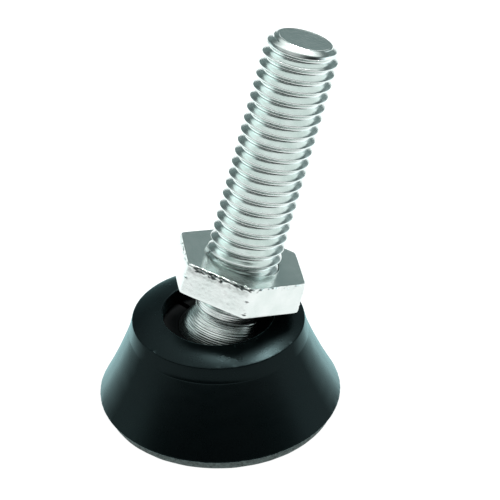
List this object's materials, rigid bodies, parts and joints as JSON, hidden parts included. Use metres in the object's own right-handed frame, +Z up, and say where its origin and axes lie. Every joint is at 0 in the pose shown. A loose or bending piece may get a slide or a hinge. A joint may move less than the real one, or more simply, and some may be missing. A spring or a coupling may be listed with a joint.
{
  "type": "furniture leveling foot",
  "caption": "Swivel leveling foot: threaded ball stud with a thin hexagon nut, held in a round flared plastic base with an anti-slip pad.",
  "frame": {"origin": "centre of the pad's lower face, on the base's axis", "axes": "+Z up along the base's axis; the stud leans 18 degrees, towards 30 degrees from +X to +Y"},
  "size_m": [0.0262, 0.0262, 0.0421],
  "materials": {
    "base_plastic": "satin",
    "cup_plastic": "satin",
    "pad_rubber": "matte",
    "disc_steel": "rolled",
    "ball_steel": "turned, zinc plated",
    "stud_steel": "rolled thread, zinc plated",
    "nut_steel": "cold formed, zinc plated"
  },
  "bodies": {
    "base": {"base_body": "base_plastic", "anti_slip_pad": "pad_rubber", "bearing_disc": "disc_steel"},
    "cup": {"socket_cup": "cup_plastic"},
    "ball": {"ball_head": "ball_steel"},
    "stud": {"threaded_stud": "stud_steel"},
    "nut": {"hex_nut": "nut_steel"}
  },
  "joints": [
    {"name": "cup_swivel", "type": "hinge", "parent": "base", "child": "cup", "pos_m": [0, 0, 0.0076], "axis": [0, 0, 1], "continuous": true},
    {"name": "ball_tilt", "type": "hinge", "parent": "cup", "child": "ball", "pos_m": [0, 0, 0.0076], "axis": [-0.5, 0.866, 0], "range_deg": [-36, 0]},
    {"name": "stud_spin", "type": "hinge", "parent": "ball", "child": "stud", "pos_m": [0, 0, 0.0076], "axis": [-0.2676, -0.1545, -0.9511], "range_deg": [0, 6840]},
    {"name": "nut_travel", "type": "slide", "parent": "ball", "child": "nut", "axis": [0.2676, 0.1545, 0.9511], "range_m": [0, 0.02375]}
  ],
  "couplings": [
    {"joint": "nut_travel", "follows": "stud_spin", "m_per_rad": 0.00019894}
  ]
}
